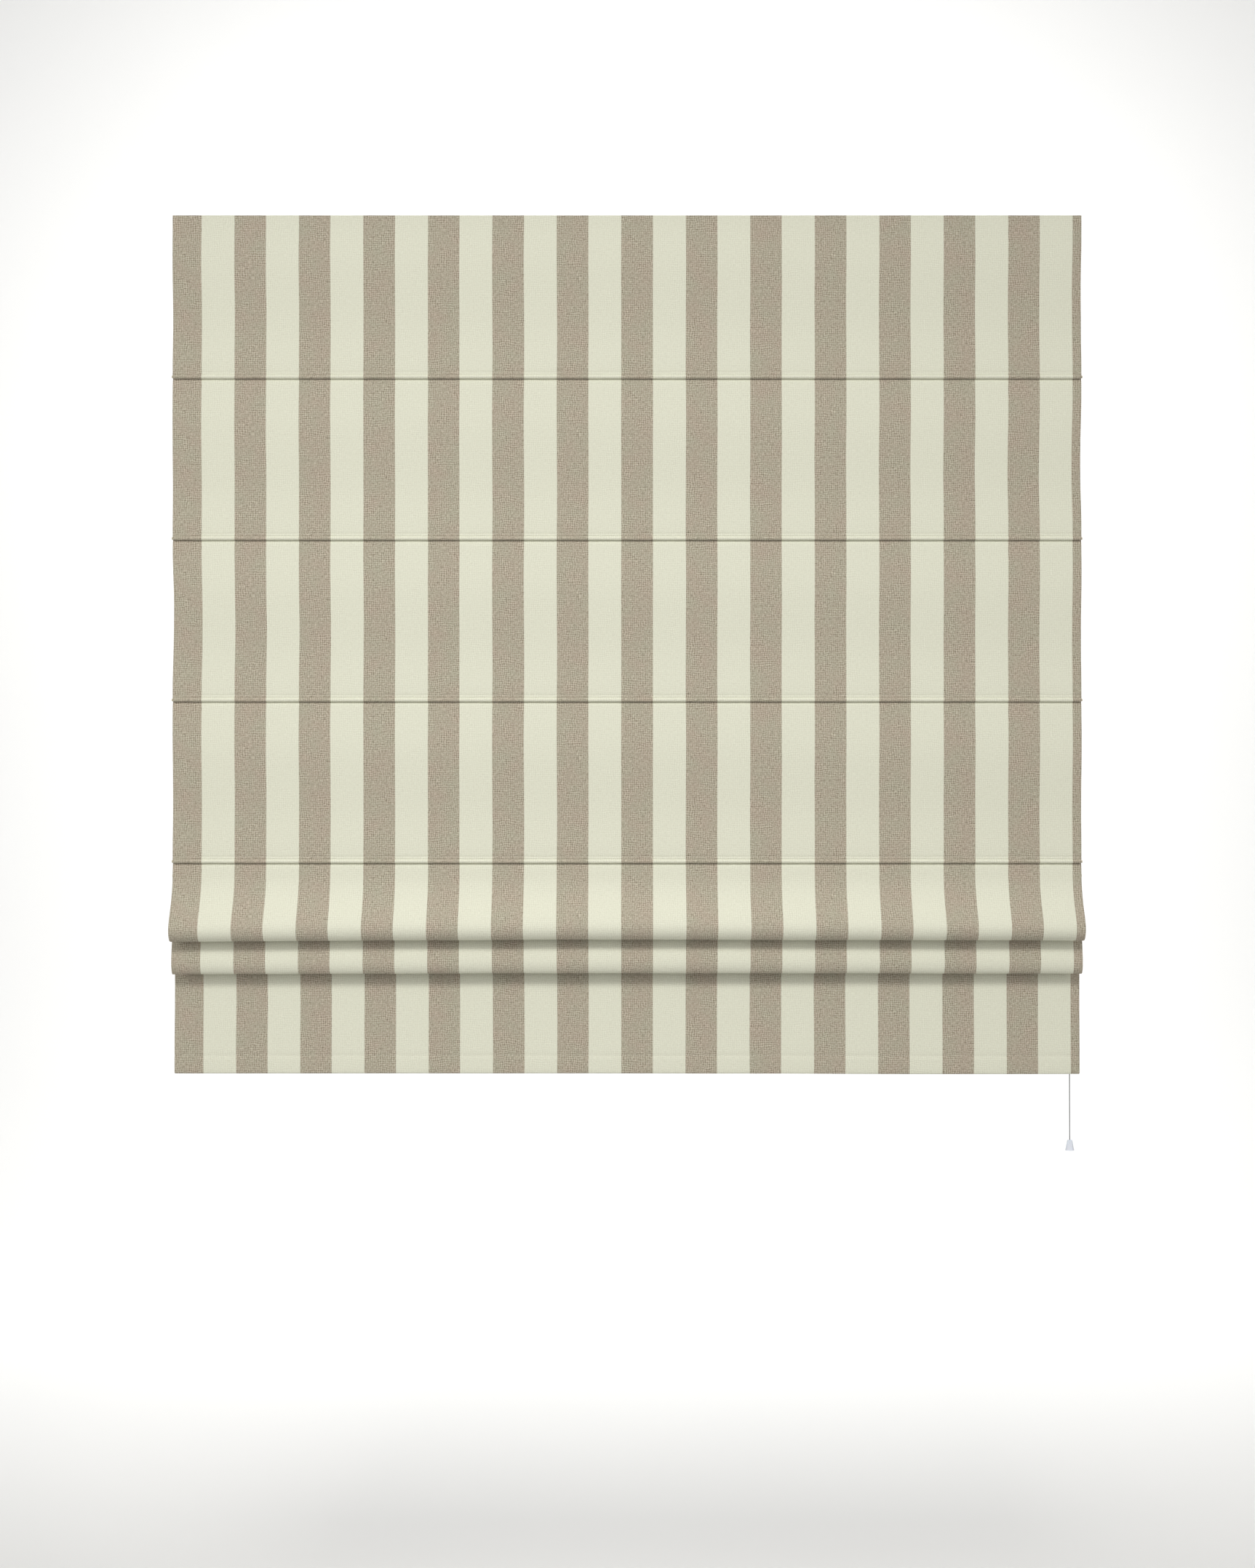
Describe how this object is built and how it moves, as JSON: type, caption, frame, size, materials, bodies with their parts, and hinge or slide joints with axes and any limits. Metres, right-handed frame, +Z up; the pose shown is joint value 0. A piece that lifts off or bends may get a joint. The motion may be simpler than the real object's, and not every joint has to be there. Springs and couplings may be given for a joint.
{
  "type": "roman blind",
  "caption": "Corded roman blind: striped cloth with sewn rod tunnels, gathered at the bottom, on a wall-mounted headrail with guides, lock and tasselled pull cord.",
  "frame": {"origin": "on the wall, midway between the two screw holes of the middle bracket", "axes": "+X along the headrail to the right as seen from the room, +Y into the wall, +Z up"},
  "size_m": [1.4032, 0.0764, 1.4463],
  "materials": {
    "cloth": "plain-weave cotton, yarn-dyed cream and taupe stripes",
    "rail_aluminium": "mill-finish extrusion",
    "bar_aluminium": "mill-finish flat bar",
    "tape": "white hook-and-loop tape",
    "white_plastic": "moulded",
    "grey_plastic": "moulded",
    "wheel_plastic": "moulded",
    "tassel_plastic": "moulded",
    "bracket_steel": "white powder coat",
    "pin_steel": "turned",
    "cord": "braided polyester",
    "ring_plastic": "moulded",
    "rod_fibreglass": "pultruded"
  },
  "bodies": {
    "headrail": {"headrail": "rail_aluminium", "hook_tape": "tape", "loop_tape": "tape", "end_cap_left": "white_plastic", "end_cap_right": "white_plastic", "bracket_left": "bracket_steel", "bracket_middle": "bracket_steel", "bracket_right": "bracket_steel", "guide_housing_1": "white_plastic", "guide_housing_2": "white_plastic", "guide_housing_3": "white_plastic", "guide_housing_4": "white_plastic", "guide_axle_1": "pin_steel", "guide_axle_2": "pin_steel", "guide_axle_3": "pin_steel", "guide_axle_4": "pin_steel", "lock_housing": "white_plastic", "lock_pin": "pin_steel", "lift_cord_1": "cord", "lift_cord_2": "cord", "lift_cord_3": "cord", "lift_cord_4": "cord", "cloth_panel_1": "cloth"},
    "row_1": {"rod_1": "rod_fibreglass", "rings_row_1": "ring_plastic", "cloth_panel_2": "cloth"},
    "row_2": {"rod_2": "rod_fibreglass", "rings_row_2": "ring_plastic", "cloth_panel_3": "cloth"},
    "row_3": {"rod_3": "rod_fibreglass", "rings_row_3": "ring_plastic", "cloth_panel_4": "cloth"},
    "row_4": {"rod_4": "rod_fibreglass", "rings_row_4": "ring_plastic", "cloth_fold_upper": "cloth"},
    "row_5": {"rod_5": "rod_fibreglass", "rings_row_5": "ring_plastic", "cloth_fold_lower": "cloth"},
    "row_6": {"rod_6": "rod_fibreglass", "rings_row_6": "ring_plastic", "cloth_bottom": "cloth", "weight_bar": "bar_aluminium"},
    "pull": {"joiner_cap": "white_plastic", "joiner_cup": "white_plastic", "pull_cord": "cord", "tassel": "tassel_plastic"},
    "roller": {"lock_roller": "pin_steel"},
    "wheel_1": {"guide_wheel_1": "wheel_plastic"},
    "wheel_2": {"guide_wheel_2": "wheel_plastic"},
    "wheel_3": {"guide_wheel_3": "wheel_plastic"},
    "wheel_4": {"guide_wheel_4": "wheel_plastic"},
    "latch_left": {"latch_left": "grey_plastic"},
    "latch_middle": {"latch_middle": "grey_plastic"},
    "latch_right": {"latch_right": "grey_plastic"}
  },
  "joints": [
    {"name": "lift", "type": "slide", "parent": "headrail", "child": "row_1", "axis": [0, 0, 1], "range_m": [0, 0.2], "deforming": ["cloth_panel_1", "lift_cord_1", "lift_cord_2", "lift_cord_3", "lift_cord_4"]},
    {"name": "lift_row_2", "type": "slide", "parent": "row_1", "child": "row_2", "axis": [0, 0, 1], "range_m": [0, 0.225], "deforming": ["cloth_panel_2"]},
    {"name": "lift_row_3", "type": "slide", "parent": "row_2", "child": "row_3", "axis": [0, 0, 1], "range_m": [0, 0.225], "deforming": ["cloth_panel_3"]},
    {"name": "lift_row_4", "type": "slide", "parent": "row_3", "child": "row_4", "axis": [0, 0, 1], "range_m": [0, 0.225], "deforming": ["cloth_panel_4"]},
    {"name": "unfold", "type": "slide", "parent": "row_4", "child": "row_5", "axis": [0, 0, 1], "range_m": [-0.227, 0], "deforming": ["cloth_fold_upper"]},
    {"name": "unfold_row_6", "type": "slide", "parent": "row_5", "child": "row_6", "axis": [0, 0, 1], "range_m": [-0.179, 0], "deforming": ["cloth_fold_lower"]},
    {"name": "pull", "type": "slide", "parent": "headrail", "child": "pull", "axis": [0, 0, 1], "range_m": [-0.875, 0]},
    {"name": "lock_roller", "type": "slide", "parent": "headrail", "child": "roller", "axis": [-0.7071, 0, 0.7071], "range_m": [0, 0.004]},
    {"name": "wheel_1", "type": "hinge", "parent": "headrail", "child": "wheel_1", "pos_m": [-0.5845, -0.0295, 0.0168], "axis": [0, 1, 0], "continuous": true},
    {"name": "wheel_2", "type": "hinge", "parent": "headrail", "child": "wheel_2", "pos_m": [-0.19117, -0.0295, 0.0168], "axis": [0, 1, 0], "continuous": true},
    {"name": "wheel_3", "type": "hinge", "parent": "headrail", "child": "wheel_3", "pos_m": [0.20217, -0.0295, 0.0168], "axis": [0, 1, 0], "continuous": true},
    {"name": "wheel_4", "type": "hinge", "parent": "headrail", "child": "wheel_4", "pos_m": [0.5955, -0.0295, 0.0168], "axis": [0, 1, 0], "continuous": true},
    {"name": "latch_left", "type": "hinge", "parent": "headrail", "child": "latch_left", "pos_m": [-0.56, -0.023, 0.036], "axis": [0, 0, 1], "range_deg": [-90, 0]},
    {"name": "latch_middle", "type": "hinge", "parent": "headrail", "child": "latch_middle", "pos_m": [0, -0.023, 0.036], "axis": [0, 0, 1], "range_deg": [-90, 0]},
    {"name": "latch_right", "type": "hinge", "parent": "headrail", "child": "latch_right", "pos_m": [0.56, -0.023, 0.036], "axis": [0, 0, 1], "range_deg": [-90, 0]}
  ],
  "couplings": [
    {"joint": "lift_row_2", "follows": "lift", "ratio": 1.125},
    {"joint": "lift_row_3", "follows": "lift", "ratio": 1.125},
    {"joint": "lift_row_4", "follows": "lift", "ratio": 1.125},
    {"joint": "pull", "follows": "lift", "ratio": -4.375},
    {"joint": "unfold_row_6", "follows": "unfold", "ratio": 0.78855},
    {"joint": "wheel_1", "follows": "lift", "rad_per_m": 795.45},
    {"joint": "wheel_2", "follows": "lift", "rad_per_m": 795.45},
    {"joint": "wheel_3", "follows": "lift", "rad_per_m": 795.45},
    {"joint": "wheel_4", "follows": "lift", "rad_per_m": 795.45}
  ]
}
